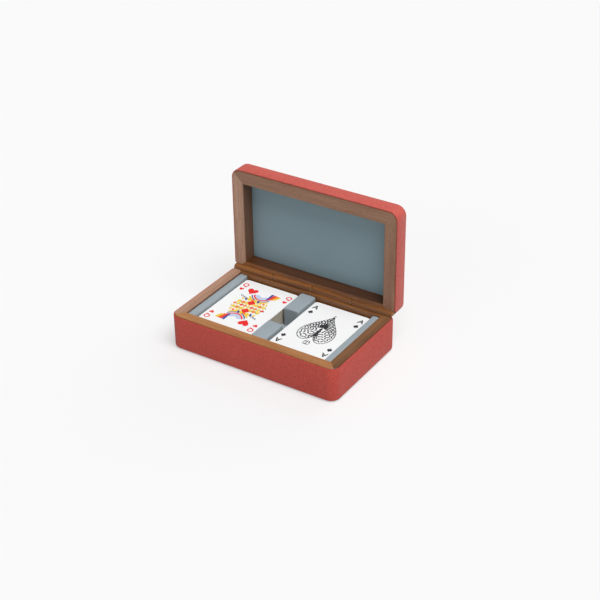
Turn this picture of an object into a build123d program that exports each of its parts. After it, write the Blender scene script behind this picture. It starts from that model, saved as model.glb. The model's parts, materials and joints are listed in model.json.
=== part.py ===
from build123d import *
import math
import os

# A walnut box for two decks of playing cards, covered in leather, with its lid open.
# Millimetres, +Z up. X runs along the front, +Y points to the hinge, and the origin is the
# middle of the underside. The lid is modelled shut and then turned back about the hinge axis.

# --- cards: the wells and the whole box are sized round them ---
CARD_WIDTH = 63.0
CARD_LENGTH = 88.0
CARD_THICKNESS = 0.31
CARD_CORNER = 3.2
CARDS_IN_DECK = 54
DECK_REST_GAP = 0.2       # loose deck above the lining
DECK_TO_RIB = 1.2
DECK_TO_DIVIDER = 2.2
DECK_TO_FRONT = 2.85
DECK_TO_BACK = 2.05
DECK_DROP = 5.4           # top card below the rim

# --- leather and lining ---
LEATHER = 1.1
LEATHER_SETBACK = 0.8     # leather stops this far short of a rim
TURN_UNDER = 8.0          # leather folded under the base
PAD_PROUD = 0.5           # underside pad stands below the folded leather
PAD_CORNER = 3.5
LINING = 1.0

# --- walnut ---
CORNER_RADIUS = 10.2      # upright corners, outside the leather
EDGE_ROUND = 2.9          # long edges under the base and round the top of the lid
RIM_BEVEL = 0.5           # eased edges of the rims and of the barrel's ends
BOTTOM_BOARD = 12.9
LID_BOARD = 2.4
BASE_FRONT_RIM = 12.2     # rims run from the outside of the leather to the opening
BASE_END_RIM = 12.2
LID_FRONT_RIM = 14.7
LID_END_RIM = 13.9
LID_RECESS = 14.7         # the lid's rim to its lining
LID_SEAT_GAP = 0.3        # between the two rims when the box is shut

# --- padded pieces in the base ---
RIB_WIDTH = 8.1
DIVIDER_WIDTH = 16.4
RIB_DROP = 2.0            # tops of ribs and divider below the rim
FRONT_BLOCK_LENGTH = 33.1
NOTCH_LENGTH = 26.8       # finger notch between the divider's blocks
PADDED_EDGE = 0.8         # soft top edges

# --- hinge: a wooden barrel of knuckles on one pin, half sunk in each rim ---
BARREL_RADIUS = 4.2
BARREL_INSET = 1.6        # from each side of the box
BARREL_TO_WELL = 2.7      # strip of rim in front of the barrel
BARREL_TO_RECESS = 4.4    # strip of rim above the barrel when the lid is open
KNUCKLES = 4
WASHER_THICKNESS = 0.5
WASHER_SETBACK = 0.3      # inside the barrel's surface
WASHER_PLAY = 0.15        # each side of a washer
GLUE_LINE = 0.05          # round a knuckle that is glued in its groove
SWING_CLEARANCE = 0.3     # round a knuckle that turns in the other half's groove
PIN_RADIUS = 1.5
PIN_CLEARANCE = 0.05
PIN_COVER = 4.0           # wood beyond each end of the pin
STOP_GAP = 0.2            # between the bevels that stop the open lid
OPEN_ANGLE = 90.0

# --- worked out ---
BASE_BACK_RIM = 2 * BARREL_RADIUS + BARREL_TO_WELL
LID_BACK_RIM = 2 * BARREL_RADIUS + BARREL_TO_RECESS
WELL_WIDTH = DECK_TO_RIB + CARD_WIDTH + DECK_TO_DIVIDER
BOX_WIDTH = 2 * (BASE_END_RIM + RIB_WIDTH + WELL_WIDTH) + DIVIDER_WIDTH
WELL_LENGTH = DECK_TO_FRONT + CARD_LENGTH + DECK_TO_BACK
BOX_DEPTH = BASE_FRONT_RIM + WELL_LENGTH + BASE_BACK_RIM

WOOD_BOTTOM = PAD_PROUD + LEATHER
BOARD_TOP = WOOD_BOTTOM + BOTTOM_BOARD
FLOOR_Z = BOARD_TOP + LINING
DECK_Z = FLOOR_Z + DECK_REST_GAP
DECK_TOP = DECK_Z + CARDS_IN_DECK * CARD_THICKNESS
BASE_HEIGHT = DECK_TOP + DECK_DROP
RIB_TOP = BASE_HEIGHT - RIB_DROP
LID_RIM = BASE_HEIGHT + LID_SEAT_GAP
LID_LINING_Z = LID_RIM + LID_RECESS
LID_BOARD_Z = LID_LINING_Z + LINING
LID_WOOD_TOP = LID_BOARD_Z + LID_BOARD
LID_TOP = LID_WOOD_TOP + LEATHER

BASE_INSIDE_X = BOX_WIDTH / 2 - BASE_END_RIM
LID_INSIDE_X = BOX_WIDTH / 2 - LID_END_RIM
BASE_FRONT_Y = -BOX_DEPTH / 2 + BASE_FRONT_RIM
BASE_BACK_Y = BOX_DEPTH / 2 - BASE_BACK_RIM
LID_FRONT_Y = -BOX_DEPTH / 2 + LID_FRONT_RIM
LID_BACK_Y = BOX_DEPTH / 2 - LID_BACK_RIM
DECK_X = BASE_INSIDE_X - RIB_WIDTH - DECK_TO_RIB - CARD_WIDTH / 2
DECK_Y = BASE_FRONT_Y + DECK_TO_FRONT + CARD_LENGTH / 2

HINGE_Y = BOX_DEPTH / 2 - BARREL_RADIUS
HINGE_Z = BASE_HEIGHT + LID_SEAT_GAP / 2
BARREL_LENGTH = BOX_WIDTH - 2 * BARREL_INSET
KNUCKLE_PITCH = BARREL_LENGTH / KNUCKLES
KNUCKLE_GAP = WASHER_THICKNESS + 2 * WASHER_PLAY
BASE_KNUCKLES = range(0, KNUCKLES, 2)
LID_KNUCKLES = range(1, KNUCKLES, 2)
BASE_BEVEL = -OPEN_ANGLE / 2          # the two bevels close on each other at OPEN_ANGLE
LID_BEVEL = OPEN_ANGLE / 2 - 180
PAST_THE_BOX = 2 * (BOX_WIDTH + BOX_DEPTH)   # reach of a cutting tool

LEFT, RIGHT = -1, 1
SIDES = ("front", "back", "left", "right")


# --- shared shapes ---
def outline(inset, z0, z1, radius=None):
    """The box's rounded plan, drawn in by inset, as a block from z0 to z1."""
    corner = CORNER_RADIUS - inset if radius is None else radius
    plan = RectangleRounded(BOX_WIDTH - 2 * inset, BOX_DEPTH - 2 * inset, corner)
    return Pos(0, 0, z0) * extrude(plan, amount=z1 - z0)


def block(x0, x1, y0, y1, z0, z1):
    """A box between two corners."""
    centre = Pos((x0 + x1) / 2, (y0 + y1) / 2, (z0 + z1) / 2)
    return centre * Box(x1 - x0, y1 - y0, z1 - z0)


def edges_at(solid, z):
    """All edges that lie in the level plane at z."""
    return solid.edges().filter_by_position(Axis.Z, z - 1e-4, z + 1e-4)


def wood_core(z0, z1, bevelled_z):
    """What the leather covers: the plan inside it, with one long edge bevelled at bevelled_z."""
    core = outline(LEATHER, z0, z1)
    return chamfer(edges_at(core, bevelled_z), EDGE_ROUND - LEATHER)


def bar_along_x(radius, x0, x1):
    """A round bar on the hinge axis."""
    return Pos((x0 + x1) / 2, HINGE_Y, HINGE_Z) * Rot(0, 90, 0) * Cylinder(radius, x1 - x0)


def opened(solid):
    """Turn a lid piece from shut to open, about the hinge axis."""
    hinge_axis = Axis((0, HINGE_Y, HINGE_Z), (-1, 0, 0))
    return solid.rotate(hinge_axis, OPEN_ANGLE)


def bevel_tool(tilt):
    """Everything past a stop bevel through the hinge axis, tilted from level about X."""
    reach = PAST_THE_BOX
    slab = Pos(0, 0, reach / 2 - STOP_GAP / 2) * Box(reach, reach, reach)
    return Pos(0, HINGE_Y, HINGE_Z) * Rot(tilt, 0, 0) * slab


# --- the wooden frames: one ring cut into four mitred rails ---
def mitre_line(side_x, side_y, inside_x, opening_y):
    """From an inside corner of the opening out through the middle of the rounded corner."""
    corner_cut = CORNER_RADIUS * (1 - math.sqrt(0.5))
    inner = Vector(side_x * inside_x, opening_y)
    corner = Vector(side_x * (BOX_WIDTH / 2 - corner_cut), side_y * (BOX_DEPTH / 2 - corner_cut))
    past_corner = inner + (corner - inner) * 3
    return inner, past_corner


def mitred_rails(ring, inside_x, front_y, back_y):
    """The four rails of a frame, cut apart on its mitre lines."""
    front_left = mitre_line(LEFT, -1, inside_x, front_y)
    front_right = mitre_line(RIGHT, -1, inside_x, front_y)
    back_left = mitre_line(LEFT, 1, inside_x, back_y)
    back_right = mitre_line(RIGHT, 1, inside_x, back_y)
    ends = {
        "front": (front_left, front_right),
        "right": (front_right, back_right),
        "back": (back_right, back_left),
        "left": (back_left, front_left),
    }
    rails = {}
    for side, (first, last) in ends.items():
        plan = make_face(Polyline(first[0], first[1], last[1], last[0], close=True))
        wedge = Pos(0, 0, -PAST_THE_BOX / 2) * extrude(plan, amount=PAST_THE_BOX)
        rails[side] = ring & wedge
    return rails


def eased(rail, rim_z):
    """Ease a rail's rim edges, but not the two that lie in its mitre joints."""
    rim = edges_at(rail, rim_z)
    curved = rim.filter_by(GeomType.CIRCLE)
    straight = rim.filter_by(Axis.X) + rim.filter_by(Axis.Y)
    return chamfer(curved + straight, RIM_BEVEL)


def frame_rails(core, inside_x, front_y, back_y, rim_z, hinge_cut):
    """A frame's rails: mitred, eased along the rim, and cut for the hinge at the back."""
    opening = block(-inside_x, inside_x, front_y, back_y, 0, PAST_THE_BOX)
    rails = mitred_rails(core - opening, inside_x, front_y, back_y)
    return {side: eased(rail, rim_z) - hinge_cut for side, rail in rails.items()}


# --- the hinge ---
def knuckle_span(index):
    """Where a knuckle starts and ends along X, counted from the left."""
    start = -BARREL_LENGTH / 2 + index * KNUCKLE_PITCH
    end = start + KNUCKLE_PITCH
    if index > 0:
        start += KNUCKLE_GAP / 2
    if index < KNUCKLES - 1:
        end -= KNUCKLE_GAP / 2
    return start, end


def hinge_knuckle(index):
    """One length of the barrel, eased at its ends and trimmed to the box's rounded corner."""
    x0, x1 = knuckle_span(index)
    body = bar_along_x(BARREL_RADIUS, x0, x1)
    body = chamfer(body.edges().filter_by(GeomType.CIRCLE), RIM_BEVEL)
    body = body & outline(0, HINGE_Z - 2 * BARREL_RADIUS, HINGE_Z + 2 * BARREL_RADIUS)
    bore_end = BARREL_LENGTH / 2 - PIN_COVER
    return body - bar_along_x(PIN_RADIUS + PIN_CLEARANCE, -bore_end, bore_end)


def groove(own_knuckles):
    """Half-round seats along a back rail: close on its own knuckles, free round the rest."""
    free = BARREL_RADIUS + SWING_CLEARANCE
    tool = bar_along_x(free, -BOX_WIDTH / 2, BOX_WIDTH / 2)
    for index in own_knuckles:
        x0, x1 = knuckle_span(index)
        if index == 0:
            x0 = -BOX_WIDTH / 2
        if index == KNUCKLES - 1:
            x1 = BOX_WIDTH / 2
        sleeve = bar_along_x(free, x0, x1) - bar_along_x(BARREL_RADIUS + GLUE_LINE, x0, x1)
        tool = tool - sleeve
    return tool


def hinge_pin():
    """The rod through all the knuckles, hidden at both ends."""
    half = BARREL_LENGTH / 2 - PIN_COVER - PIN_CLEARANCE
    return bar_along_x(PIN_RADIUS, -half, half)


def hinge_washers():
    """A thin ring at each joint between two knuckles."""
    rings = []
    for joint in range(1, KNUCKLES):
        x = -BARREL_LENGTH / 2 + joint * KNUCKLE_PITCH
        x0, x1 = x - WASHER_THICKNESS / 2, x + WASHER_THICKNESS / 2
        disc = bar_along_x(BARREL_RADIUS - WASHER_SETBACK, x0, x1)
        rings.append(disc - bar_along_x(PIN_RADIUS + PIN_CLEARANCE, x0, x1))
    return Compound(children=rings)


# --- the base ---
def base_hinge_cut():
    """What the hinge takes out of the base's back edge."""
    return bevel_tool(BASE_BEVEL) + groove(BASE_KNUCKLES)


def base_rails():
    """The base's walnut frame, grooved and bevelled along the back for the hinge."""
    core = wood_core(WOOD_BOTTOM, BASE_HEIGHT, WOOD_BOTTOM)
    opening = (BASE_INSIDE_X, BASE_FRONT_Y, BASE_BACK_Y)
    return frame_rails(core, *opening, BASE_HEIGHT, base_hinge_cut())


def base_leather_band():
    """Leather round the four sides, folded under the bottom edge."""
    outside = outline(0, PAD_PROUD, BASE_HEIGHT - LEATHER_SETBACK)
    outside = fillet(edges_at(outside, PAD_PROUD), EDGE_ROUND)
    window = outline(TURN_UNDER, PAD_PROUD, WOOD_BOTTOM, PAD_CORNER)
    band = outside - wood_core(WOOD_BOTTOM, BASE_HEIGHT, WOOD_BOTTOM) - window
    return band - base_hinge_cut()


def base_panel(z0, z1):
    """A flat panel that fills the base's opening."""
    return block(-BASE_INSIDE_X, BASE_INSIDE_X, BASE_FRONT_Y, BASE_BACK_Y, z0, z1)


def padded_block(x0, x1, y0, y1):
    """A lined strip on the well's floor, with soft top edges."""
    body = block(x0, x1, y0, y1, FLOOR_Z, RIB_TOP)
    return fillet(edges_at(body, RIB_TOP), PADDED_EDGE)


def divider_block(y0, y1):
    """One of the two blocks between the wells."""
    return padded_block(-DIVIDER_WIDTH / 2, DIVIDER_WIDTH / 2, y0, y1)


def base_parts():
    notch_front = BASE_FRONT_Y + FRONT_BLOCK_LENGTH
    notch_back = notch_front + NOTCH_LENGTH
    rib_inner = BASE_INSIDE_X - RIB_WIDTH
    rails = base_rails()
    parts = {f"base_{side}_rail": rails[side] for side in SIDES}
    parts["base_bottom_board"] = base_panel(WOOD_BOTTOM, BOARD_TOP)
    parts["base_leather_band"] = base_leather_band()
    parts["base_bottom_pad"] = outline(TURN_UNDER, 0, WOOD_BOTTOM, PAD_CORNER)
    parts["floor_lining"] = base_panel(BOARD_TOP, FLOOR_Z)
    parts["left_rib"] = padded_block(-BASE_INSIDE_X, -rib_inner, BASE_FRONT_Y, BASE_BACK_Y)
    parts["right_rib"] = padded_block(rib_inner, BASE_INSIDE_X, BASE_FRONT_Y, BASE_BACK_Y)
    parts["divider_front_block"] = divider_block(BASE_FRONT_Y, notch_front)
    parts["divider_back_block"] = divider_block(notch_back, BASE_BACK_Y)
    for index in BASE_KNUCKLES:
        parts[f"hinge_knuckle_{index + 1}"] = hinge_knuckle(index)
    parts["hinge_pin"] = hinge_pin()
    parts["hinge_washers"] = hinge_washers()
    return parts


# --- the lid, modelled shut ---
def lid_hinge_cut():
    """What the hinge takes out of the lid's back edge."""
    return bevel_tool(LID_BEVEL) + groove(LID_KNUCKLES)


def lid_rails():
    """The lid's walnut frame, grooved and bevelled along the back for the hinge."""
    core = wood_core(LID_RIM, LID_WOOD_TOP, LID_WOOD_TOP)
    opening = (LID_INSIDE_X, LID_FRONT_Y, LID_BACK_Y)
    return frame_rails(core, *opening, LID_RIM, lid_hinge_cut())


def lid_leather_cover():
    """Leather over the lid's top and down its four sides."""
    outside = outline(0, LID_RIM + LEATHER_SETBACK, LID_TOP)
    outside = fillet(edges_at(outside, LID_TOP), EDGE_ROUND)
    cover = outside - wood_core(LID_RIM, LID_WOOD_TOP, LID_WOOD_TOP)
    return cover - lid_hinge_cut()


def lid_panel(z0, z1):
    """A flat panel that fills the lid's opening."""
    return block(-LID_INSIDE_X, LID_INSIDE_X, LID_FRONT_Y, LID_BACK_Y, z0, z1)


def lid_parts():
    rails = lid_rails()
    parts = {f"lid_{side}_rail": rails[side] for side in SIDES}
    parts["lid_top_board"] = lid_panel(LID_BOARD_Z, LID_WOOD_TOP)
    parts["lid_lining"] = lid_panel(LID_LINING_Z, LID_BOARD_Z)
    parts["lid_leather_cover"] = lid_leather_cover()
    for index in LID_KNUCKLES:
        parts[f"hinge_knuckle_{index + 1}"] = hinge_knuckle(index)
    return {name: opened(solid) for name, solid in parts.items()}


# --- the decks ---
def squared_cards(side, z0, z1):
    """Cards squared up in one well, from z0 to z1."""
    plan = RectangleRounded(CARD_WIDTH, CARD_LENGTH, CARD_CORNER)
    return Pos(side * DECK_X, DECK_Y, z0) * extrude(plan, amount=z1 - z0)


def deck_parts():
    under_top_card = DECK_TOP - CARD_THICKNESS
    parts = {}
    for name, side in (("left", LEFT), ("right", RIGHT)):
        parts[f"{name}_deck_stack"] = squared_cards(side, DECK_Z, under_top_card)
        parts[f"{name}_top_card"] = squared_cards(side, under_top_card, DECK_TOP)
    return parts


def main():
    os.makedirs("parts", exist_ok=True)
    for name, solid in {**base_parts(), **lid_parts(), **deck_parts()}.items():
        export_step(solid, f"parts/{name}.step")
        print(f"{name}: {solid.volume / 1000:.2f} cm3")
    print(f"box {BOX_WIDTH:.1f} x {BOX_DEPTH:.1f} x {LID_TOP:.1f} mm shut")


main()
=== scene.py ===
# %% [markdown]
# # A leather-covered walnut box with two decks of cards
# The box stands open on a pale table. Its base and lid are walnut frames under red leather, lined
# in blue-grey, and they turn on a long wooden barrel hinge. The hard pieces come from a measured
# model, which loads here as a fixed frame. This lesson gives them their wood, leather and brass,
# and models what is soft or printed: the leather, the padded pieces, the cards and their marks.

# %% Load the frame
import json
import math
import random

import bpy
from mathutils import Matrix, Vector


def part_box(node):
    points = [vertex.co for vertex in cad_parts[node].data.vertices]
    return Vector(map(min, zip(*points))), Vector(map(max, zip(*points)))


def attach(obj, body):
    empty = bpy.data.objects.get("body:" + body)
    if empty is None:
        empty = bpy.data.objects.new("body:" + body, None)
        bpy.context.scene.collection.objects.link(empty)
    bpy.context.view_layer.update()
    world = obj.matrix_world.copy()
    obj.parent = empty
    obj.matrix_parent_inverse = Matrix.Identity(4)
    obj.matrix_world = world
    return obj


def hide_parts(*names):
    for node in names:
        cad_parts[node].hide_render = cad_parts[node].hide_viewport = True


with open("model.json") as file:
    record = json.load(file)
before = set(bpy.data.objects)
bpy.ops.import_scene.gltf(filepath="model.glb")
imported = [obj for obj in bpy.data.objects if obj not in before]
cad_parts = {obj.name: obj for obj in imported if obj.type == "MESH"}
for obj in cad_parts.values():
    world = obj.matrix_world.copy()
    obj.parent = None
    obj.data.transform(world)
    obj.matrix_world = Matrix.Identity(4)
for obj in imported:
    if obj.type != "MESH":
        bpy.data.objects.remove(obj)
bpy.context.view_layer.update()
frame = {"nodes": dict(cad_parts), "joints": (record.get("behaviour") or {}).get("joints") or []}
nodes = frame["nodes"]
bpy.context.scene.view_settings.view_transform = "Standard"

# %% [markdown]
# The frame gives every size that the new pieces need. The base's walls tell us where the leather
# runs, and the joint tells us the line that the lid turns about. A millimetre is written MM, so
# that sizes read as a maker would say them.

# %% Sizes from the frame
MM = 0.001
CORNER_RADIUS = 10.2 * MM      # upright corners, outside the leather
EDGE_ROUND = 2.9 * MM          # long edges of the leather
LEATHER = 1.1 * MM

base_leather_low, base_leather_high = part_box("base_leather_band")
BOX_WIDTH = base_leather_high.x - base_leather_low.x
BOX_DEPTH = base_leather_high.y - base_leather_low.y
lid_hinge = next(j for j in frame["joints"] if j["name"] == "lid_hinge")
HINGE = Vector(lid_hinge["pos_m"])
print(f"box {BOX_WIDTH / MM:.1f} x {BOX_DEPTH / MM:.1f} mm, hinge line at y {HINGE.y / MM:.2f}")

# %% [markdown]
# ## The camera
# A product photograph is taken from a few steps away with a long lens, so the box's edges stay
# nearly parallel. The camera looks down at about 31 degrees and from the front right. We build
# its turn from three plain angles, so that each can be adjusted without disturbing the others.

# %% Camera
CAMERA_PLACE = Vector((635.87, -945.01, 744.44)) * MM
LOOKS_DOWN = math.radians(31.228)
TURNED_LEFT = math.radians(33.085)
ROLLED = math.radians(-0.823)
LENS_MM = 82.295

bpy.ops.object.camera_add()
camera = bpy.context.object
camera.name = "product_camera"
camera.data.lens = LENS_MM
turn = Matrix.Rotation(TURNED_LEFT, 4, "Z") @ Matrix.Rotation(math.pi / 2 - LOOKS_DOWN, 4, "X")
camera.matrix_world = Matrix.Translation(CAMERA_PLACE) @ turn @ Matrix.Rotation(ROLLED, 4, "Z")
bpy.context.scene.camera = camera
print("camera stands", round(camera.location.length, 3), "m from the box")

# %% [markdown]
# ## Building blocks for the finishes
# A finish is a few layers: a colour that wanders, a roughness that wanders a little less, and a
# fine height. Several pieces share the same kind of layers, so each kind is a node group with
# named sockets. The small builder below makes a group and lets us wire its nodes by name.

# %% A small builder for node groups
def new_group(name, inputs, outputs):
    """An empty shader group, with sockets given as (kind, name, default)."""
    tree = bpy.data.node_groups.new(name, "ShaderNodeTree")
    for kind, socket, default in inputs:
        made = tree.interface.new_socket(socket, in_out="INPUT", socket_type=f"NodeSocket{kind}")
        if default is not None:
            made.default_value = default
    for kind, socket in outputs:
        tree.interface.new_socket(socket, in_out="OUTPUT", socket_type=f"NodeSocket{kind}")
    return tree, tree.nodes.new("NodeGroupInput"), tree.nodes.new("NodeGroupOutput")


def add_node(tree, kind, settings=None, **sockets):
    """Add a node, set its plain settings, and feed or fill its named inputs."""
    node = tree.nodes.new(f"ShaderNode{kind}")
    for key, value in (settings or {}).items():
        setattr(node, key, value)
    for socket, value in sockets.items():
        target = node.inputs[int(socket[1:])] if socket[1:].isdigit() else node.inputs[socket]
        if isinstance(value, bpy.types.NodeSocket):
            tree.links.new(value, target)
        else:
            target.default_value = value
    return node


def noise(tree, vector, scale, detail=3.0, roughness=0.5, distortion=0.0):
    """A noise texture's grey value."""
    return add_node(tree, "TexNoise", Vector=vector, Scale=scale, Detail=detail,
                    Roughness=roughness, Distortion=distortion).outputs["Fac"]


def stretched_noise(tree, vector, scale, **settings):
    """Noise with its own number of waves per metre along each axis."""
    squeezed = add_node(tree, "Mapping", Vector=vector, Scale=scale).outputs["Vector"]
    return noise(tree, squeezed, 1.0, **settings)


def spread(tree, value, low, high, new_low=0.0, new_high=1.0):
    """Map a range of values to another one, and keep it inside."""
    ends = {"From Min": low, "From Max": high, "To Min": new_low, "To Max": new_high}
    return add_node(tree, "MapRange", Value=value, **ends).outputs["Result"]


def blend_colour(tree, amount, first, second):
    """Mix two colours."""
    node = add_node(tree, "Mix", {"data_type": "RGBA"}, _0=amount, _6=first, _7=second)
    return node.outputs[2]


def combine(tree, operation, first, second):
    """Two values added, multiplied or the like."""
    return add_node(tree, "Math", {"operation": operation}, _0=first, _1=second).outputs[0]


print("builder ready")

# %% [markdown]
# ## The table
# The table is white to the camera but greyer to the light that bounces off it, or it would light
# the box from below and flatten it. The Light Path node tells the two apart. A share of plain
# white in what the camera sees keeps the backdrop clean and the shadow faint.

# %% Table
TABLE_SIZE = 12.0
TABLE_SEEN = (0.785, 0.785, 0.785, 1)
TABLE_IN_BOUNCES = (0.60, 0.60, 0.60, 1)
PLAIN_WHITE = 0.955
PLAIN_WHITE_SHARE = 0.45


def make_table_paint():
    """Matt paint, mixed with plain white where the camera sees it."""
    paint = bpy.data.materials.new("pale_table")
    paint.use_nodes = True
    tree = paint.node_tree
    shader = tree.nodes["Principled BSDF"]
    shader.inputs["Roughness"].default_value = 0.9
    shader.inputs["Specular IOR Level"].default_value = 0.1
    seen_directly = add_node(tree, "LightPath").outputs["Is Camera Ray"]
    tint = blend_colour(tree, seen_directly, TABLE_IN_BOUNCES, TABLE_SEEN)
    tree.links.new(tint, shader.inputs["Base Color"])
    white = add_node(tree, "Emission", Strength=PLAIN_WHITE)
    white_share = combine(tree, "MULTIPLY", seen_directly, PLAIN_WHITE_SHARE)
    mixed = add_node(tree, "MixShader", _0=white_share, _1=shader.outputs[0], _2=white.outputs[0])
    tree.links.new(mixed.outputs[0], tree.nodes["Material Output"].inputs["Surface"])
    return paint


bpy.ops.mesh.primitive_plane_add(size=TABLE_SIZE)
table = bpy.context.object
table.name = "table"
table.data.materials.append(make_table_paint())
print("table is", TABLE_SIZE, "m wide")

# %% [markdown]
# ## Light
# White goods are lit from above: one large soft lamp overhead, a little to the front and right,
# so that the open lid doesn't shade the cards. A weaker one behind lays a pale gloss on the
# lid's upper edge, and a low one in front reaches into the lid. The room itself stays dim, so
# the tops come out lightest, the right side middling and the front darkest, and that shows the
# form. Suns with a very wide angle stand for softboxes, because their light doesn't fall off
# across the table.

# %% Room and lamps
ROOM_STRENGTH = 0.26
LAMPS = {  # where the light comes from, its strength, and its width in degrees
    "overhead_soft_lamp": (Vector((0.42, -0.17, 0.89)), 2.88, 44),
    "back_soft_lamp": (Vector((0.10, 0.80, 0.60)), 0.60, 40),
    "low_front_lamp": (Vector((-0.15, -0.94, 0.30)), 0.30, 40),
}

world = bpy.data.worlds.new("dim_room")
world.use_nodes = True
world.node_tree.nodes["Background"].inputs["Color"].default_value = (1, 1, 1, 1)
world.node_tree.nodes["Background"].inputs["Strength"].default_value = ROOM_STRENGTH
bpy.context.scene.world = world

for lamp_name, (comes_from, strength, width_degrees) in LAMPS.items():
    bpy.ops.object.light_add(type="SUN")
    lamp = bpy.context.object
    lamp.name = lamp_name
    lamp.data.energy = strength
    lamp.data.angle = math.radians(width_degrees)
    lamp.rotation_euler = comes_from.to_track_quat("Z", "Y").to_euler()
    print(lamp_name, "comes from", [round(v, 2) for v in comes_from.normalized()])

# %% [markdown]
# ## Walnut
# Sawn walnut shows three things at once. Broad bands of lighter and darker wood run along the
# board. Fine dark pores lie along it as dashes a few millimetres long. Across the board, the
# light catches the fibres unevenly. Each comes from noise that is squeezed across the grain. The
# group expects a vector whose X runs along the board, so that every rail can have its own
# direction, as in a real mitred frame.

# %% The walnut group
# Waves per metre, along the grain and across it both ways
WAVER_SCALE = (9, 30, 30)
BAND_SCALE = (7, 160, 160)
LINE_SCALE = (22, 900, 900)
FIBRE_SCALE = (120, 3200, 3200)
PORE_SCALE = (260, 3600, 3600)
WAVER_REACH = 6 * MM
PORE_BROWN = (0.035, 0.015, 0.006, 1)


def make_walnut_group():
    tree, given, out = new_group(
        "walnut_grain",
        [("Vector", "Along Grain", None), ("Color", "Light Wood", (0.4, 0.2, 0.1, 1)),
         ("Color", "Dark Wood", (0.1, 0.05, 0.02, 1)), ("Float", "Figure", 0.6),
         ("Float", "Pores", 0.5)],
        [("Color", "Color"), ("Float", "Roughness"), ("Float", "Height")])
    along = given.outputs["Along Grain"]
    waver = stretched_noise(tree, along, WAVER_SCALE, detail=2)
    waver_offset = add_node(tree, "VectorMath", {"operation": "SCALE"}, Vector=waver,
                            Scale=WAVER_REACH)
    bent = add_node(tree, "VectorMath", {"operation": "ADD"}, _0=along,
                    _1=waver_offset.outputs["Vector"]).outputs["Vector"]
    bands = stretched_noise(tree, bent, BAND_SCALE, detail=5, roughness=0.6)
    lines = stretched_noise(tree, bent, LINE_SCALE, detail=3, roughness=0.6)
    fibre = stretched_noise(tree, bent, FIBRE_SCALE, detail=2)
    pores = stretched_noise(tree, along, PORE_SCALE, detail=1)
    band_mask = spread(tree, bands, 0.34, 0.68)
    line_mask = spread(tree, lines, 0.35, 0.7)
    pore_mask = spread(tree, pores, 0.60, 0.72)
    figure = combine(tree, "MULTIPLY", band_mask, given.outputs["Figure"])
    fine = combine(tree, "MULTIPLY", line_mask, 0.5)
    total = combine(tree, "ADD", figure, fine)
    wood = blend_colour(tree, total, given.outputs["Light Wood"], given.outputs["Dark Wood"])
    pore_depth = combine(tree, "MULTIPLY", pore_mask, given.outputs["Pores"])
    pore_colour = blend_colour(tree, pore_depth, wood, PORE_BROWN)
    fibre_light = spread(tree, fibre, 0.3, 0.7, 0.0, 0.16)
    lit = blend_colour(tree, fibre_light, pore_colour, given.outputs["Light Wood"])
    tree.links.new(lit, out.inputs["Color"])
    tree.links.new(spread(tree, lines, 0.3, 0.7, 0.36, 0.52), out.inputs["Roughness"])
    raised = combine(tree, "SUBTRACT", fibre, pore_depth)
    tree.links.new(raised, out.inputs["Height"])
    return tree


WALNUT_GROUP = make_walnut_group()
print("walnut group has", len(WALNUT_GROUP.nodes), "nodes")

# %% [markdown]
# ## Leather
# Full-grain leather is covered in small rounded pebbles, here about a millimetre across, with
# creases between them. A cell texture gives the pebbles, and a noise bends the cells so that they
# don't look like tiles. The creases are darker with painted shade, and the crowns are lighter with
# a painted highlight and a little smoother where hands polish them.

# %% The leather group
WANDER_REACH = 1.2 * MM        # how far the noise bends the cells


def make_leather_group():
    tree, given, out = new_group(
        "leather_grain",
        [("Vector", "Vector", None), ("Color", "Dye", (0.5, 0.06, 0.05, 1)),
         ("Color", "Crease", (0.25, 0.02, 0.02, 1)), ("Color", "Crown", (0.7, 0.12, 0.1, 1)),
         ("Float", "Pebbles per Metre", 900.0)],
        [("Color", "Color"), ("Float", "Roughness"), ("Float", "Height")])
    place = given.outputs["Vector"]
    wander = add_node(tree, "TexNoise", Vector=place, Scale=500.0, Detail=2.0)
    shift = add_node(tree, "VectorMath", {"operation": "SCALE"},
                     Vector=wander.outputs["Color"], Scale=WANDER_REACH)
    bent = add_node(tree, "VectorMath", {"operation": "ADD"}, _0=place,
                    _1=shift.outputs["Vector"]).outputs["Vector"]
    cells = add_node(tree, "TexVoronoi", {"feature": "DISTANCE_TO_EDGE"}, Vector=bent,
                     Scale=given.outputs["Pebbles per Metre"]).outputs["Distance"]
    crown = spread(tree, cells, 0.0, 0.32)
    fine = noise(tree, place, 5200.0, detail=2)
    mottle = noise(tree, place, 420.0, detail=3, roughness=0.6)
    patch = noise(tree, place, 24.0, detail=4)
    # painted highlight: the crowns of the pebbles are lightened where they would catch the light
    crown_highlight = combine(tree, "MULTIPLY", spread(tree, crown, 0.45, 1.0), spread(tree, mottle, 0.35, 0.65))
    # painted shade: the creases between the pebbles are darkened
    crease_shaded = blend_colour(tree, spread(tree, crown, 0.0, 0.5, 0.85, 0.0),
                        given.outputs["Dye"], given.outputs["Crease"])
    lit = blend_colour(tree, crown_highlight, crease_shaded, given.outputs["Crown"])
    worn = blend_colour(tree, spread(tree, patch, 0.35, 0.75, 0.0, 0.14), lit,
                        given.outputs["Crease"])
    tree.links.new(worn, out.inputs["Color"])
    tree.links.new(spread(tree, crown, 0.0, 1.0, 0.68, 0.50), out.inputs["Roughness"])
    pebbled = combine(tree, "ADD", crown, combine(tree, "MULTIPLY", fine, 0.18))
    tree.links.new(pebbled, out.inputs["Height"])
    return tree


LEATHER_GROUP = make_leather_group()
print("leather group has", len(LEATHER_GROUP.nodes), "nodes")

# %% [markdown]
# ## Lining
# The wells and the lid are lined with a smooth, slightly brushed cloth like microsuede. It has no
# weave to see. What shows is the nap: soft cloudy patches where the pile leans another way, and a
# very fine fuzz. The face of a card uses the same group, with two tones that hardly differ.

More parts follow.
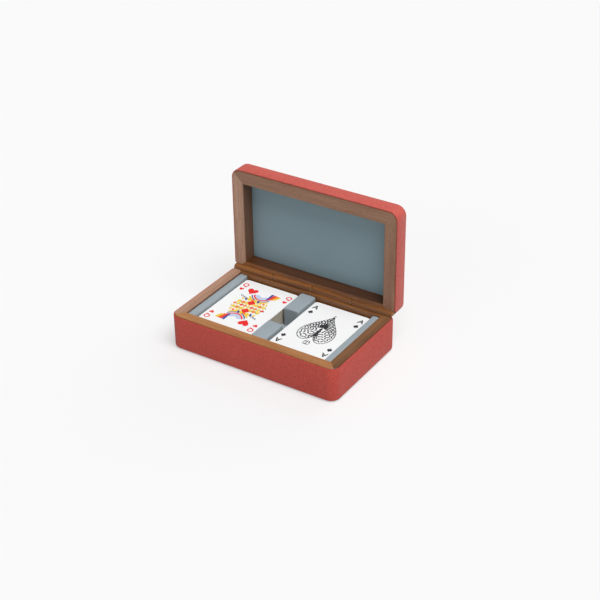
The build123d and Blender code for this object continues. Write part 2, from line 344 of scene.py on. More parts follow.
# %% The nap group
def make_nap_group():
    tree, given, out = new_group(
        "brushed_nap",
        [("Vector", "Vector", None), ("Color", "Base", (0.3, 0.35, 0.4, 1)),
         ("Color", "Brushed", (0.4, 0.45, 0.5, 1)), ("Float", "Cloud", 0.4)],
        [("Color", "Color"), ("Float", "Roughness"), ("Float", "Height")])
    place = given.outputs["Vector"]
    clouds = noise(tree, place, 38.0, detail=4, roughness=0.55)
    fuzz = noise(tree, place, 4200.0, detail=2)
    cloud_amount = combine(tree, "MULTIPLY", spread(tree, clouds, 0.3, 0.7), given.outputs["Cloud"])
    fuzz_amount = spread(tree, fuzz, 0.3, 0.7, -0.08, 0.08)
    both = combine(tree, "ADD", cloud_amount, fuzz_amount)
    tree.links.new(blend_colour(tree, both, given.outputs["Base"], given.outputs["Brushed"]),
                   out.inputs["Color"])
    tree.links.new(spread(tree, clouds, 0.3, 0.7, 0.78, 0.9), out.inputs["Roughness"])
    tree.links.new(fuzz, out.inputs["Height"])
    return tree


NAP_GROUP = make_nap_group()
print("nap group has", len(NAP_GROUP.nodes), "nodes")

# %% [markdown]
# ## From groups to materials
# A material places a group, feeds it the piece's own Object coordinates, and wires its colour,
# roughness and height to one shader. The height goes through a Bump node whose distance is the
# real depth of the grain, which keeps the finish at its true scale.

# %% Material maker
def finish_material(name, group, depth, bump=1.0, turn=(0, 0, 0), sheen=0.0, coat=0.0,
                    sheen_tint=(1, 1, 1, 1), specular=0.5, **values):
    """One material from one group. turn brings the pattern's X onto the piece's grain."""
    material = bpy.data.materials.new(name)
    material.use_nodes = True
    tree = material.node_tree
    shader = tree.nodes["Principled BSDF"]
    layers = tree.nodes.new("ShaderNodeGroup")
    layers.node_tree = group
    for socket, value in values.items():
        layers.inputs[socket.replace("_", " ")].default_value = value
    coordinates = add_node(tree, "TexCoord")
    turned = add_node(tree, "Mapping", Vector=coordinates.outputs["Object"], Rotation=turn)
    tree.links.new(turned.outputs["Vector"], layers.inputs[0])
    tree.links.new(layers.outputs["Color"], shader.inputs["Base Color"])
    tree.links.new(layers.outputs["Roughness"], shader.inputs["Roughness"])
    relief = add_node(tree, "Bump", Height=layers.outputs["Height"], Strength=bump, Distance=depth)
    tree.links.new(relief.outputs["Normal"], shader.inputs["Normal"])
    shader.inputs["Sheen Weight"].default_value = sheen
    shader.inputs["Sheen Tint"].default_value = sheen_tint
    shader.inputs["Sheen Roughness"].default_value = 0.5
    shader.inputs["Coat Weight"].default_value = coat
    shader.inputs["Coat Roughness"].default_value = 0.35
    shader.inputs["Specular IOR Level"].default_value = specular
    return material


print("material maker ready")

# %% [markdown]
# ## Oiled wood with painted shade on its walls
# Each board has its own two browns, and its grain is turned to run along it. The rim of a frame
# keeps the wood's colour, while the walls inside it get painted shade, because the frame shades
# them. A dot product of the surface's normal with the way that the rim looks tells rim from wall.

# %% Walnut
QUARTER = math.pi / 2
ALONG_X = (0, 0, 0)
ALONG_Y = (0, 0, -QUARTER)
ALONG_Z = (0, QUARTER, 0)
# painted shade for the walls inside the frame: the share of each colour that they keep
WALL_PAINTED_SHADE = (0.42, 0.3528, 0.2772, 1)


def walnut(name, grain, light, dark, figure=0.7, rim=None):
    """Oiled walnut with its grain along one axis. Where rim is given, faces that look that way
    keep the wood's colour, and all others are darkened with painted shade."""
    material = finish_material(name, WALNUT_GROUP, 0.05 * MM, bump=0.6, turn=grain, coat=0.12,
                               Light_Wood=(*light, 1), Dark_Wood=(*dark, 1), Figure=figure,
                               Pores=0.6)
    if rim:
        tree = material.node_tree
        shader = tree.nodes["Principled BSDF"]
        wood = shader.inputs["Base Color"].links[0].from_socket
        looks = add_node(tree, "TexCoord").outputs["Normal"]
        towards = add_node(tree, "VectorMath", {"operation": "DOT_PRODUCT"}, _0=looks, _1=rim)
        # painted shade: faces that don't look the way of the rim are darkened, as walls in shade are
        shade_painted = spread(tree, towards.outputs["Value"], 0.5, 0.9, 1.0, 0.0)
        dark_wood = add_node(tree, "Mix", {"data_type": "RGBA", "blend_type": "MULTIPLY"},
                             _0=shade_painted, _6=wood, _7=WALL_PAINTED_SHADE)
        tree.links.new(dark_wood.outputs[2], shader.inputs["Base Color"])
    return material


print("the oiled walls keep", WALL_PAINTED_SHADE[0], "of the wood's red")

# %% [markdown]
# ## Hides and lining
# Both leathers stand for one hide: the lid's copy is a little lighter, as painted light for the
# gloss that the lid's upper edge catches. Both linings stand for one cloth: the panel in the lid is
# a darker copy of the wells' lining, as painted shade where the panel faces away from the light.
# Sheen stands for the fine fibres that catch light at a slant.

# %% Leather and lining
def red_leather(name, dye, crease, crown, sheen):
    """One copy of the hide. The lid's copy is a little lighter than the base's, as painted light."""
    return finish_material(name, LEATHER_GROUP, 0.16 * MM, bump=0.8, specular=0.45, sheen=sheen,
                           sheen_tint=(1.0, 0.80, 0.76, 1), Dye=(*dye, 1), Crease=(*crease, 1),
                           Crown=(*crown, 1))


base_leather = red_leather("red_leather_base", (0.55, 0.066, 0.043), (0.33, 0.028, 0.019),
                           (0.64, 0.090, 0.060), 0.06)
# painted light: the lid's copy of the hide is lighter than the base's
lid_leather = red_leather("red_leather_lid_painted_light", (0.59, 0.088, 0.062), (0.37, 0.040, 0.029),
                          (0.68, 0.125, 0.092), 0.20)


def lining_cloth(name, base, brushed, sheen):
    """The lining: paler where the nap lies towards the light."""
    return finish_material(name, NAP_GROUP, 0.04 * MM, bump=0.4, specular=0.2, sheen=sheen,
                           Base=(*base, 1), Brushed=(*brushed, 1))


well_lining = lining_cloth("lining_wells", (0.300, 0.350, 0.380), (0.350, 0.400, 0.425), 0.06)
# painted shade: the lid's lining is a darker copy of the wells' lining
lid_lining = lining_cloth("lining_lid_painted_shade", (0.232, 0.332, 0.374), (0.262, 0.364, 0.406), 0.02)
pad_felt = finish_material("underside_felt", NAP_GROUP, 0.1 * MM, bump=0.7, specular=0.1,
                           sheen=0.2, Base=(0.05, 0.055, 0.06, 1), Brushed=(0.07, 0.075, 0.08, 1))
print("materials so far:", len(bpy.data.materials))

# %% [markdown]
# ## Card and ink
# A card's face is bright and smooth, and its cut edges are greyer and warmer, because they show
# the paper inside, and they are darkened further with painted shade, as the sides of a deck lie in
# shade in the well. Ink is the same smooth surface in another colour, so one function makes all
# the inks.

# %% Card and ink
card_white = finish_material("card_white", NAP_GROUP, 0.01 * MM, bump=0.2, specular=0.45,
                             Base=(0.86, 0.86, 0.865, 1), Brushed=(0.885, 0.885, 0.885, 1),
                             Cloud=0.3)
# partly paper's own edge colour, partly painted shade for a deck's side in its well
card_edges = finish_material("card_edges", NAP_GROUP, 0.02 * MM, bump=0.3, specular=0.2,
                             Base=(0.42, 0.37, 0.30, 1), Brushed=(0.56, 0.51, 0.43, 1), Cloud=0.6)


def ink(name, colour):
    """Printed ink: the paper's fine fuzz in another colour."""
    return finish_material(name, NAP_GROUP, 0.01 * MM, bump=0.2, specular=0.4,
                           Base=(*colour, 1), Brushed=(*(0.85 * c + 0.03 for c in colour), 1),
                           Cloud=0.4)


ink_red = ink("ink_red", (0.80, 0.020, 0.018))
ink_black = ink("ink_black", (0.022, 0.022, 0.026))
ink_yellow = ink("ink_yellow", (0.84, 0.58, 0.04))
ink_straw = ink("ink_straw", (0.86, 0.72, 0.30))
ink_blue = ink("ink_blue", (0.05, 0.07, 0.30))
ink_sky = ink("ink_sky", (0.52, 0.60, 0.78))
ink_orange = ink("ink_orange", (0.86, 0.20, 0.02))

print("materials:", len(bpy.data.materials))

# %% [markdown]
# ## Brass
# The thin rings between the hinge's knuckles are the only metal that shows, as a pale glint at
# each joint. Satin brass is a metallic shader with a roughness that wanders in fine brush marks.

# %% Brass
BRUSH_SCALE = (9000, 900, 900)     # waves per metre, along the hinge and across it


def make_brass():
    material = bpy.data.materials.new("satin_brass")
    material.use_nodes = True
    tree = material.node_tree
    shader = tree.nodes["Principled BSDF"]
    shader.inputs["Metallic"].default_value = 1.0
    place = add_node(tree, "TexCoord").outputs["Object"]
    brushed = stretched_noise(tree, place, BRUSH_SCALE, detail=2)
    tree.links.new(spread(tree, brushed, 0.3, 0.7, 0.24, 0.42), shader.inputs["Roughness"])
    tarnish = noise(tree, place, 300.0, detail=3)
    tint = blend_colour(tree, spread(tree, tarnish, 0.4, 0.7), (0.62, 0.42, 0.20, 1),
                        (0.40, 0.25, 0.11, 1))
    tree.links.new(tint, shader.inputs["Base Color"])
    return material


brass = make_brass()
print("made", brass.name)

# %% [markdown]
# ## Dressing the wooden frame
# The rails and knuckles already have their true shape, so they only get wood. Each rail was sawn
# from its own board, and its grain follows its length, so the colour breaks at every mitre. The
# front rail is the warmest and lightest and the right one the darkest, partly as real boards
# differ and partly as painted reflection of how the light catches each rail.

# %% Wood for each rail and knuckle
# tones per rail: partly the boards' own colour, partly painted reflection of the light on each rail
WARM = ((0.54, 0.248, 0.090), (0.25, 0.092, 0.028))
ROSY = ((0.52, 0.300, 0.205), (0.33, 0.175, 0.110))
DEEP = ((0.270, 0.120, 0.046), (0.085, 0.034, 0.012))
MIDDLE = ((0.370, 0.195, 0.115), (0.220, 0.102, 0.054))
HONEY = ((0.340, 0.126, 0.028), (0.090, 0.028, 0.005))
UPWARDS = (0, 0, 1)
FORWARDS = (0, -1, 0)


def dress(node, material):
    """Give a fixed node its finish."""
    mesh = nodes[node].data
    mesh.materials.clear()
    mesh.materials.append(material)


# grain, tones, and the way the rim looks; every other face of a rail gets painted shade
RAIL_WOOD = {
    "base_front_rail": (ALONG_X, WARM, UPWARDS), "base_left_rail": (ALONG_Y, ROSY, UPWARDS),
    "base_right_rail": (ALONG_Y, DEEP, UPWARDS), "base_back_rail": (ALONG_X, HONEY, None),
    "lid_front_rail": (ALONG_X, MIDDLE, FORWARDS), "lid_left_rail": (ALONG_Z, ROSY, FORWARDS),
    "lid_right_rail": (ALONG_Z, MIDDLE, FORWARDS), "lid_back_rail": (ALONG_X, HONEY, FORWARDS),
}
for rail, (grain, (light, dark), rim) in RAIL_WOOD.items():
    dress(rail, walnut(f"walnut_{rail}", grain, light, dark, rim=rim))
knuckle_wood = walnut("walnut_barrel", ALONG_X, *HONEY, figure=0.8)
for knuckle in (n for n in nodes if n.startswith("hinge_knuckle")):
    dress(knuckle, knuckle_wood)
plain_board = walnut("plain_board", ALONG_X, (0.50, 0.36, 0.22), (0.36, 0.25, 0.15), figure=0.3)
for board in ("base_bottom_board", "lid_top_board"):
    dress(board, plain_board)
for metal in ("hinge_pin", "hinge_washers"):
    dress(metal, brass)
print("dressed", len(RAIL_WOOD), "rails")

# %% [markdown]
# ## Helpers for modelling by hand
# Everything below starts from a primitive that is shaped in edit mode. The operators act on the
# selection, and so these helpers deselect all, pick edges or faces by where they are, and then
# go into edit mode. The select mode is set before that. In vertex mode, four upright edges of a
# block would select all of its corners, and with them every edge. Every finished piece ends with
# its place in its mesh.

# %% Selecting and starting
SAME_PLACE = 0.001 * MM        # places this near to each other count as one


def deselect_everything():
    for thing in bpy.context.selected_objects:
        thing.select_set(False)


def add_block(name, low, high):
    """A cube primitive from one corner to the other."""
    deselect_everything()
    bpy.ops.mesh.primitive_cube_add(size=1, location=(low + high) / 2, scale=high - low)
    piece = bpy.context.object
    piece.name = name
    bpy.ops.object.transform_apply(location=True, rotation=True, scale=True)
    return piece


def make_active(piece):
    deselect_everything()
    piece.select_set(True)
    bpy.context.view_layer.objects.active = piece


def pick(piece, kind, test):
    """In edit mode, select only the edges or faces that pass the test."""
    make_active(piece)
    bpy.ops.object.mode_set(mode="OBJECT")
    bpy.context.tool_settings.mesh_select_mode = (False, kind == "EDGE", kind == "FACE")
    mesh = piece.data
    for group in (mesh.vertices, mesh.edges, mesh.polygons):
        group.foreach_set("select", [False] * len(group))
    chosen = mesh.edges if kind == "EDGE" else mesh.polygons
    for item in chosen:
        item.select = test(item)
    bpy.ops.object.mode_set(mode="EDIT")


def ends_of(piece, edge):
    return [piece.data.vertices[i].co for i in edge.vertices]


def stands(piece, edge):
    """True for an upright edge."""
    a, b = ends_of(piece, edge)
    return abs(a.x - b.x) < SAME_PLACE and abs(a.y - b.y) < SAME_PLACE


def lies_at(piece, edge, z):
    """True for an edge in the level plane at z."""
    return all(abs(end.z - z) < SAME_PLACE for end in ends_of(piece, edge))


def face_at(face, z):
    """True for a face whose middle is at the height z."""
    return abs(face.center.z - z) < SAME_PLACE


def any_face(face):
    """True for every face."""
    return True


def finish_piece(piece, material, body, node, smooth=30):
    """Smooth it, give it its finish, let it ride on its body, and hide the node it stands for."""
    make_active(piece)
    bpy.ops.object.shade_smooth_by_angle(angle=math.radians(smooth))
    piece.data.materials.clear()
    piece.data.materials.append(material)
    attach(piece, body)
    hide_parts(node)
    return piece


def apply_modifier(piece, kind, **settings):
    """Add one modifier and apply it."""
    make_active(piece)
    modifier = piece.modifiers.new(kind.lower(), kind)
    for key, value in settings.items():
        setattr(modifier, key, value)
    bpy.ops.object.modifier_apply(modifier=modifier.name)


print("modelling helpers ready")

# %% [markdown]
# ## The leather
# One strip of leather goes round the base and folds under its bottom edge. Another covers the
# lid. Both start as a block with the box's outside. Its upright corners are rounded first and
# then the long edge, because a bevel that runs round a corner that is already round keeps an
# even width. Opening the block and giving it a wall leaves a shell as thick as the leather. It is
# trimmed at the hinge's stop bevel before that, and scooped round the barrel's ends after it.

# %% How a leather shell is made
CORNER_STEPS = 12
EDGE_STEPS = 6
STOP_BEVEL_GAP = 0.1 * MM
LIP_ROUND = 0.35 * MM
SWING_ROOM = 0.3 * MM
knuckle_low, knuckle_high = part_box("hinge_knuckle_1")
BARREL_ROOM = (knuckle_high.z - knuckle_low.z) / 2 + SWING_ROOM


def rounded_shell(name, low, high, rounded_z, open_z):
    """A leather shell: rounded uprights, one rounded long edge, and open on the other side."""
    shell = add_block(name, low, high)
    pick(shell, "EDGE", lambda e: stands(shell, e))
    bpy.ops.mesh.bevel(offset=CORNER_RADIUS, segments=CORNER_STEPS)
    pick(shell, "EDGE", lambda e: lies_at(shell, e, rounded_z))
    bpy.ops.mesh.bevel(offset=EDGE_ROUND, segments=EDGE_STEPS)
    pick(shell, "FACE", lambda f: face_at(f, open_z))
    bpy.ops.mesh.delete(type="FACE")
    bpy.ops.object.mode_set(mode="OBJECT")
    return shell


def cut_for_hinge(shell, slope):
    """Trim the shell where the hinge's stop bevel runs along the back."""
    pick(shell, "FACE", any_face)
    normal = Vector((0, 1, slope)).normalized()
    place = HINGE - normal * STOP_BEVEL_GAP
    bpy.ops.mesh.bisect(plane_co=place, plane_no=normal, clear_outer=True, use_fill=False)
    bpy.ops.object.mode_set(mode="OBJECT")


def thicken(shell):
    """Give the shell the leather's thickness, and ease its cut edges."""
    apply_modifier(shell, "SOLIDIFY", thickness=LEATHER, offset=-1, use_even_offset=True)
    apply_modifier(shell, "BEVEL", width=LIP_ROUND, segments=2, limit_method="ANGLE",
                   angle_limit=math.radians(50))
    pick(shell, "FACE", any_face)
    bpy.ops.mesh.normals_make_consistent(inside=False)
    bpy.ops.object.mode_set(mode="OBJECT")


def clear_the_barrel(shell):
    """Scoop out the rounded corners where the ends of the barrel turn."""
    deselect_everything()
    bpy.ops.mesh.primitive_cylinder_add(vertices=96, radius=BARREL_ROOM, depth=2 * BOX_WIDTH,
                                        location=HINGE, rotation=(0, QUARTER, 0))
    scoop = bpy.context.object
    apply_modifier(shell, "BOOLEAN", object=scoop, operation="DIFFERENCE", solver="EXACT")
    bpy.data.objects.remove(scoop, do_unlink=True)


print(f"room for the barrel: radius {BARREL_ROOM / MM:.2f} mm")

# %% [markdown]
# The strip on the base turns under the box. So its lower face isn't deleted whole. An inset
# leaves a border there as wide as the fold, and only the middle goes.

# %% Leather round the base
TURN_UNDER = 8 * MM

band = rounded_shell("leather_band", base_leather_low, base_leather_high,
                     base_leather_low.z, base_leather_high.z)
pick(band, "FACE", lambda f: face_at(f, base_leather_low.z))
bpy.ops.mesh.inset(thickness=TURN_UNDER - EDGE_ROUND)
bpy.ops.mesh.delete(type="FACE")
bpy.ops.object.mode_set(mode="OBJECT")
cut_for_hinge(band, 1)
thicken(band)
clear_the_barrel(band)
finish_piece(band, base_leather, "base", "base_leather_band")
print("leather band:", len(band.data.polygons), "faces")

# %% [markdown]
# The lid is easiest to model shut, straight above the base, and then to turn open about the
# hinge line. The frame holds it open, so its box is turned back to shut first.

# %% Leather over the lid
OPEN_LID = (Matrix.Translation(HINGE) @ Matrix.Rotation(-QUARTER, 4, "X")
            @ Matrix.Translation(-HINGE))
SHUT_LID = OPEN_LID.inverted()


def shut_box(node):
    """The low and high corner of a lid node, as it lies when the lid is shut."""
    corners = [SHUT_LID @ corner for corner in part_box(node)]
    low = Vector(min(c[i] for c in corners) for i in range(3))
    high = Vector(max(c[i] for c in corners) for i in range(3))
    return low, high


def open_with_lid(piece):
    """Turn a piece about the hinge line and bake its place into its mesh."""
    make_active(piece)
    piece.matrix_world = OPEN_LID
    bpy.ops.object.transform_apply(location=True, rotation=True, scale=True)


cover_low, cover_high = shut_box("lid_leather_cover")
cover = rounded_shell("lid_leather", cover_low, cover_high, cover_high.z, cover_low.z)
cut_for_hinge(cover, -1)
thicken(cover)
clear_the_barrel(cover)
open_with_lid(cover)
finish_piece(cover, lid_leather, "lid", "lid_leather_cover")
print("lid leather:", len(cover.data.polygons), "faces")

# %% [markdown]
# ## Padded and lined pieces
# The ribs and the divider are thin boards wrapped in the lining, so their edges are soft and
# their tops rise very slightly towards the middle. A beveled block is divided into a grid and
# its top vertices are lifted by a cosine, which is zero at the edges.

# %% Padded blocks
PADDED_EDGE = 0.5 * MM
CROWN = 0.25 * MM
FLOOR_EDGE = 0.2 * MM


def padded_block(name, node, crown=CROWN, edge=PADDED_EDGE):
    """A soft block in the space of one node of the base, with a slightly crowned top."""
    low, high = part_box(node)
    high.z -= crown
    block = add_block(name, low, high)
    pick(block, "EDGE", lambda e: stands(block, e) or lies_at(block, e, high.z))
    bpy.ops.mesh.bevel(offset=edge, segments=4)
    pick(block, "FACE", any_face)
    bpy.ops.mesh.subdivide(number_cuts=8)
    bpy.ops.object.mode_set(mode="OBJECT")
    middle = (low + high) / 2
    for vertex in block.data.vertices:
        across = (vertex.co.x - middle.x) / (high.x - low.x)
        along = (vertex.co.y - middle.y) / (high.y - low.y)
        height = (vertex.co.z - low.z) / (high.z - low.z)
        swell = math.cos(math.pi * across) * max(math.cos(math.pi * along), 0) ** 0.25
        vertex.co.z += crown * swell * height ** 4
    return finish_piece(block, well_lining, "base", node, smooth=60)


for padded in ("left_rib", "right_rib", "divider_front_block", "divider_back_block"):
    padded_block(f"{padded}_padded", padded)
floor_piece = padded_block("well_floor", "floor_lining", crown=0, edge=FLOOR_EDGE)
print("well floor:", len(floor_piece.data.polygons), "faces")

# %% [markdown]
# The panel in the lid is stretched flat, and only its border dips into the frame. The pad under
# the base is a sheet of felt with rounded corners.

# %% Lid panel and pad
PANEL_INSETS = (0.5 * MM, 0.8 * MM)
PANEL_BORDER = 0.9 * MM
PANEL_DIP = 0.35 * MM


def make_lid_panel():
    """The lining in the lid, with a border that dips into the frame."""
    low, high = shut_box("lid_lining")
    panel = add_block("lid_panel", low, high)
    pick(panel, "FACE", lambda f: face_at(f, low.z))
    for width in PANEL_INSETS:
        bpy.ops.mesh.inset(thickness=width)
    bpy.ops.object.mode_set(mode="OBJECT")
    for vertex in panel.data.vertices:
        x, y, z = vertex.co
        from_edge = min(x - low.x, high.x - x, y - low.y, high.y - y)
        if abs(z - low.z) < SAME_PLACE and from_edge < PANEL_BORDER:
            vertex.co.z += PANEL_DIP * (1 - from_edge / PANEL_BORDER) ** 2
    open_with_lid(panel)
    return finish_piece(panel, lid_lining, "lid", "lid_lining", smooth=60)


lid_panel = make_lid_panel()
dress("base_bottom_pad", pad_felt)
print("lid panel:", len(lid_panel.data.polygons), "faces")

# %% [markdown]
# ## The decks
# A deck is a pile of thin plates. One card is modelled with rounded corners, copied for each
# card and nudged by a hair's breadth, so that the side of the deck shows fine lines. The random
# numbers start from a fixed seed, so that the pile is the same each time.

# %% Cards
CARD_CORNER = 3.2 * MM
CARD_STEP = 0.31 * MM          # from one card to the next
CARD_SHEET = 0.27 * MM         # one card, with a little air left below the next
CUT_EDGE = 0.06 * MM
NUDGE = 0.12 * MM


def one_card(name, low, high):
    """One card between two corners of its box."""
    card = add_block(name, low, high)
    pick(card, "EDGE", lambda e: stands(card, e))
    bpy.ops.mesh.bevel(offset=CARD_CORNER, segments=6)
    bpy.ops.object.mode_set(mode="OBJECT")
    return card


def deck(side, seed):
    """All the cards of one deck but its top one, joined into one pile."""
    low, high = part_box(f"{side}_deck_stack")
    count = round((high.z - low.z) / CARD_STEP)
    luck = random.Random(seed)
    first = one_card(f"{side}_deck", low, Vector((high.x, high.y, low.z + CARD_SHEET)))
    cards = [first]
    for level in range(1, count):
        card = first.copy()
        card.data = first.data.copy()
        bpy.context.collection.objects.link(card)
        card.location = (luck.uniform(-NUDGE, NUDGE), luck.uniform(-NUDGE, NUDGE), level * CARD_STEP)
        cards.append(card)
    deselect_everything()
    for card in cards:
        card.select_set(True)
    bpy.context.view_layer.objects.active = first
    bpy.ops.object.join()
    bpy.ops.object.transform_apply(location=True, rotation=True, scale=True)
    finish_piece(first, card_edges, f"{side}_deck", f"{side}_deck_stack")
    print(first.name, "holds", count, "cards")


deck("left", 7)
deck("right", 11)


def top_card(side):
    """The card on top, with its cut edges eased so that they catch the light."""
    low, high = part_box(f"{side}_top_card")
    card = one_card(f"{side}_face_card", low, high)
    apply_modifier(card, "BEVEL", width=CUT_EDGE, segments=1, limit_method="ANGLE",
                   angle_limit=math.radians(60))
    finish_piece(card, card_white, f"{side}_deck", f"{side}_top_card")


top_card("left")
top_card("right")

# %% [markdown]
# ## What is printed on the cards
# A printed mark is a thin flat shape that lies on the card. Hearts and spades come from one
# formula: a disc whose points are moved so that it gets a tip at one end and a notch at the
# other. Everything is drawn about the card's middle and then moved to its place. Marks that
# overlap would flicker if they lay at one height, so each is a hair thicker than the last.

# %% Marks
INK_DEPTH = 0.02 * MM
INK_STEP = 0.0003 * MM
made_marks = {"left": [], "right": []}


def deck_middle(side):
    """The middle of a deck's top card, on its face."""
    low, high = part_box(f"{side}_top_card")
    return Vector(((low.x + high.x) / 2, (low.y + high.y) / 2, high.z))


def flat_shape(points):
    """A flat face through the given points, in millimetres, made from a filled circle."""
    deselect_everything()
    bpy.ops.mesh.primitive_circle_add(vertices=len(points), radius=1, fill_type="NGON")
    shape = bpy.context.object
    for vertex, (x, y) in zip(shape.data.vertices, points):
        vertex.co = (x * MM, y * MM, 0)
    return shape


def raise_ink(shape, depth):
    """Give a flat shape the thickness of ink, with its faces outwards."""
    pick(shape, "FACE", any_face)
    bpy.ops.mesh.normals_make_consistent(inside=False)
    bpy.ops.mesh.extrude_region_move(TRANSFORM_OT_translate={"value": (0, 0, depth)})
    bpy.ops.mesh.select_all(action="SELECT")
    bpy.ops.mesh.normals_make_consistent(inside=False)
    bpy.ops.object.mode_set(mode="OBJECT")
    return shape


def heart_points(width, height, steps=40):
    """A heart, its tip down and its notch up."""
    points = []
    for step in range(steps):
        t = 2 * math.pi * step / steps
        x = math.sin(t) ** 3
        y = (13 * math.cos(t) - 5 * math.cos(2 * t) - 2 * math.cos(3 * t) - math.cos(4 * t)) / 16
        points.append((x * width / 2, (y + 0.16) * height / 1.8))
    return points


def spade_points(width, height, steps=40):
    """A spade's leaf: a heart turned over."""
    return [(-x, -y) for x, y in heart_points(width, height, steps)]


def stem_points(width, height):
    """A spade's stem: a narrow waist on a wide foot."""
    half = width / 2
    right = [(half * (0.16 + 0.84 * t ** 2.2), height * (0.5 - t)) for t in (0, 0.3, 0.6, 0.8, 0.92, 1)]
    return right + [(-x, y) for x, y in reversed(right)]


def place_mark(shape, side, x, y, turn):
    """Put a mark on a card, x and y millimetres from its middle."""
    make_active(shape)
    spot = deck_middle(side) + Vector((x * MM, y * MM, 0))
    shape.matrix_world = Matrix.Translation(spot) @ Matrix.Rotation(math.radians(turn), 4, "Z")
    bpy.ops.object.transform_apply(location=True, rotation=True, scale=True)
    made_marks[side].append(shape)


def mark(side, points, colour, x, y, turn=0.0):
    """Draw, raise, colour and place one mark, a hair higher than the one before it."""
    shape = raise_ink(flat_shape(points), INK_DEPTH + INK_STEP * len(made_marks[side]))
    shape.data.materials.append(colour)
    place_mark(shape, side, x, y, turn)


LETTER_SIZE = 1.4      # type size for a capital letter 1 mm high
LETTER_WEIGHT = 0.035  # how far its outline is pushed out, as a share of its height


def letter(side, text, colour, x, y, turn, height):
    """A corner letter in plain type."""
    deselect_everything()
    bpy.ops.object.text_add()
    glyph = bpy.context.object
    glyph.data.body = text
    glyph.data.size = height * MM * LETTER_SIZE
    glyph.data.offset = height * MM * LETTER_WEIGHT
    glyph.data.align_x = "CENTER"
    glyph.data.align_y = "CENTER"
    glyph.data.extrude = INK_DEPTH / 2
    glyph.data.resolution_u = 4
    bpy.ops.object.convert(target="MESH")
    glyph.data.materials.clear()
    glyph.data.materials.append(colour)
    glyph.data.transform(Matrix.Translation((0, 0, INK_DEPTH / 2)))
    place_mark(glyph, side, x, y, turn)


def join_marks(side, name):
    """All the marks on one card become one printed piece."""
    deselect_everything()
    for shape in made_marks[side]:
        shape.select_set(True)
    bpy.context.view_layer.objects.active = made_marks[side][0]
    bpy.ops.object.join()
    printed = bpy.context.object
    printed.name = name
    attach(printed, f"{side}_deck")
    print(name, "has", len(printed.data.polygons), "faces")


print("drawing helpers ready")

# %% [markdown]
# ## The ace
# The right-hand card is an ace: one large pip in the middle and a small index in each corner.
# The large spade is drawn here as a plain ornament of our own: rings of small leaves, one ring
# inside the other, that lean to and fro about a small solid spade. Each ring follows the same
# spade outline at a smaller size. All sizes are in millimetres.

# %% Leaves in rings
ACE_WIDTH, ACE_HEIGHT = 37, 50
ACE_SHIFT = 4.5                # the ornament's middle, above the card's
OUTER_LEAVES = {"spacing": 2.7, "length": 3.2, "width": 1.2, "lean": 8, "jitter": 4}
INNER_LEAVES = {"spacing": 3.1, "length": 3.9, "width": 1.6, "lean": 42, "jitter": 20}
INNER_RINGS = 5
FIRST_INNER_RING = 0.87        # as a share of the outer one
RING_STEP = 0.15


def leaf_points(length, width, steps=6):
    """A leaf that lies along X, pointed at both ends."""
    shares = [i / steps for i in range(steps + 1)]
    upper = [(length * (t - 0.5), width / 2 * math.sin(math.pi * t)) for t in shares]
    return upper + [(x, -y) for x, y in upper[-2:0:-1]]


def evenly_along(outline, spacing):
    """Points about one spacing apart along a closed outline."""
    closed = outline + outline[:1]
    lengths = [math.dist(a, b) for a, b in zip(closed, closed[1:])]
    step = sum(lengths) / round(sum(lengths) / spacing)
    points, passed, wanted = [], 0.0, 0.0
    for (ax, ay), (bx, by), length in zip(closed, closed[1:], lengths):
        while wanted < passed + length:
            share = (wanted - passed) / length
            points.append((ax + (bx - ax) * share, ay + (by - ay) * share))
            wanted += step
        passed += length
    return points


leaf_luck = random.Random(5)


def ring_of_leaves(grow, spacing, length, width, lean, jitter):
    """Leaves along a spade's outline, every second one leaning the other way."""
    path = evenly_along(spade_points(ACE_WIDTH * grow, ACE_HEIGHT * grow, 90), spacing)
    for i, (x, y) in enumerate(path):
        ax, ay = path[i - 1]
        bx, by = path[(i + 1) % len(path)]
        along = math.degrees(math.atan2(by - ay, bx - ax))
        turn = along + (lean if i % 2 else -lean) + leaf_luck.uniform(-jitter, jitter)
        mark("right", leaf_points(length, width), ink_black, x, ACE_SHIFT + y, turn)


ring_of_leaves(1.0, **OUTER_LEAVES)
for ring in range(INNER_RINGS):
    ring_of_leaves(FIRST_INNER_RING - RING_STEP * ring, **INNER_LEAVES)
print("leaves in the ornament:", len(made_marks["right"]))

# %% [markdown]
# The small spade goes inside the rings, and three leaves and a level one make the ornament's
# foot. The indices are the same in every corner, and the lower two are turned half round.

# %% Middle, foot and corners of the ace
FOOT_LEANS = (-22, 0, 22)      # degrees from upright
FOOT_SPREAD = 0.11             # millimetres aside for each degree of lean
INDEX_X, INDEX_LETTER_Y, INDEX_PIP_Y = 26.0, 34.0, 25.3
STEM_BELOW_PIP = 2.6
CORNERS = ((-1, 1, 0), (1, 1, 0), (-1, -1, 180), (1, -1, 180))

mark("right", spade_points(9, 10), ink_black, 0, ACE_SHIFT + 5)
mark("right", stem_points(4.2, 4.4), ink_black, 0, ACE_SHIFT - 0.8)
for lean in FOOT_LEANS:
    mark("right", leaf_points(6, 1.2), ink_black, FOOT_SPREAD * lean, -23.0, 90 + lean)
mark("right", leaf_points(8, 1.4), ink_black, 0, -27.0)
for side_x, side_y, turn in CORNERS:
    x = side_x * INDEX_X
    letter("right", "A", ink_black, x, side_y * INDEX_LETTER_Y, turn, 6.5)
    mark("right", spade_points(5, 5), ink_black, x, side_y * INDEX_PIP_Y, turn)
    mark("right", stem_points(2.4, 2.2), ink_black, x, side_y * (INDEX_PIP_Y - STEM_BELOW_PIP), turn)
join_marks("right", "ace_print")

# %% [markdown]
# ## The picture card
# The left-hand card is a picture card of the heart suit. Its picture is a plain geometric pattern
# that reads the same from both ends. Each half has a heart, a fan of arcs with stripes beside it,
# and rows of small lozenges about a red one, on straw-coloured bars. Half of it is drawn, and
# then drawn again half a turn round. All sizes are in millimetres.

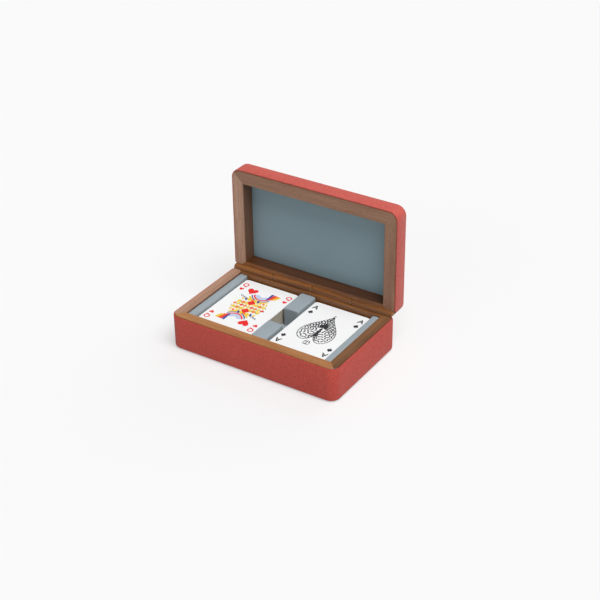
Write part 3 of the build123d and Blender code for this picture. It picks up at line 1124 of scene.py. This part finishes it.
# %% Shapes for the picture
def arc_points(radius, thickness, start, end, steps=12):
    """Part of a ring, from one angle to another."""
    angles = [math.radians(start + (end - start) * i / steps) for i in range(steps + 1)]
    outer = [(radius * math.cos(a), radius * math.sin(a)) for a in angles]
    inside = radius - thickness
    inner = [(inside * math.cos(a), inside * math.sin(a)) for a in angles]
    return outer + inner[::-1]


def lozenge(width, height):
    """A diamond on one corner."""
    return [(width / 2, 0), (0, height / 2), (-width / 2, 0), (0, -height / 2)]


def bar(width, height):
    """A plain rectangle."""
    x, y = width / 2, height / 2
    return [(x, y), (-x, y), (-x, -y), (x, -y)]


print("an arc has", len(arc_points(10, 1, 0, 90)), "points")

# %% [markdown]
# The fan's arcs share one middle, so they are a short list. Later marks lie over earlier ones,
# and so the order runs from the ground to the finest strokes.

# %% The picture card
FAN_MIDDLE = (1.5, 25.5)
FAN_ARCS = (  # radius, thickness, from which angle, to which angle, ink
    (8.6, 5.0, 196, 344, ink_sky),
    (10.2, 1.7, 196, 340, ink_red),
    (12.4, 1.3, 200, 332, ink_blue),
    (15.0, 2.2, 212, 322, ink_yellow),
)
STROKE = 0.35


def half_picture(turn):
    """One half of the picture, seen from its own end of the card."""
    back = math.cos(math.radians(turn))

    def put(points, colour, x, y, lean=0.0):
        mark("left", points, colour, back * x, back * y, lean + turn)

    put(heart_points(11.5, 11), ink_red, -13.2, 26.0)
    put(bar(30, 5.5), ink_straw, -1.0, 5.0, 4)
    put(bar(19, 4.5), ink_straw, -1.0, 11.5, -6)
    for radius, thickness, start, end, colour in FAN_ARCS:
        put(arc_points(radius, thickness, start, end), colour, *FAN_MIDDLE)
    for stripe, colour in enumerate((ink_blue, ink_red, ink_orange, ink_yellow)):
        put(bar(2.7, 12.0 - 1.2 * stripe), colour, 8.6 + 2.5 * stripe, 26.0 + 0.4 * stripe, -8 * stripe)
    for column in range(-4, 5):
        colour = (ink_yellow, ink_blue, ink_yellow, ink_orange)[column % 4]
        put(lozenge(3.0, 7.2 - 0.5 * abs(column)), colour, 3.5 * column, 13.0 - 0.5 * abs(column), 20)
    for column in (-3, -2, -1, 1, 2, 3):
        put(lozenge(4.6, 5.0), ink_yellow if column % 2 else ink_orange, 4.9 * column, 5.6)
        put(bar(STROKE, 4.2), ink_black, 4.9 * column + 2.3, 5.6, 30 if column % 2 else -30)
    put(lozenge(9.5, 9.5), ink_red, -1.5, 7.6)
    for step in range(5):
        put(bar(0.8, 3.4), ink_blue if step % 2 else ink_black, -18.5 + 2.0 * step, 15.5 - 0.6 * step, 35)


half_picture(0)
half_picture(180)
for column in range(-4, 5):
    mark("left", lozenge(3.8, 5.2), (ink_yellow, ink_red, ink_orange)[column % 3], 4.1 * column, 0)
    mark("left", bar(STROKE, 3.2), ink_black, 4.1 * column + 2.0, 0, 35)
for side_x, side_y, turn in CORNERS:
    letter("left", "Q", ink_red, side_x * INDEX_X, side_y * INDEX_LETTER_Y, turn, 6.0)
    mark("left", heart_points(5, 5), ink_red, side_x * INDEX_X, side_y * INDEX_PIP_Y, turn)
join_marks("left", "picture_print")
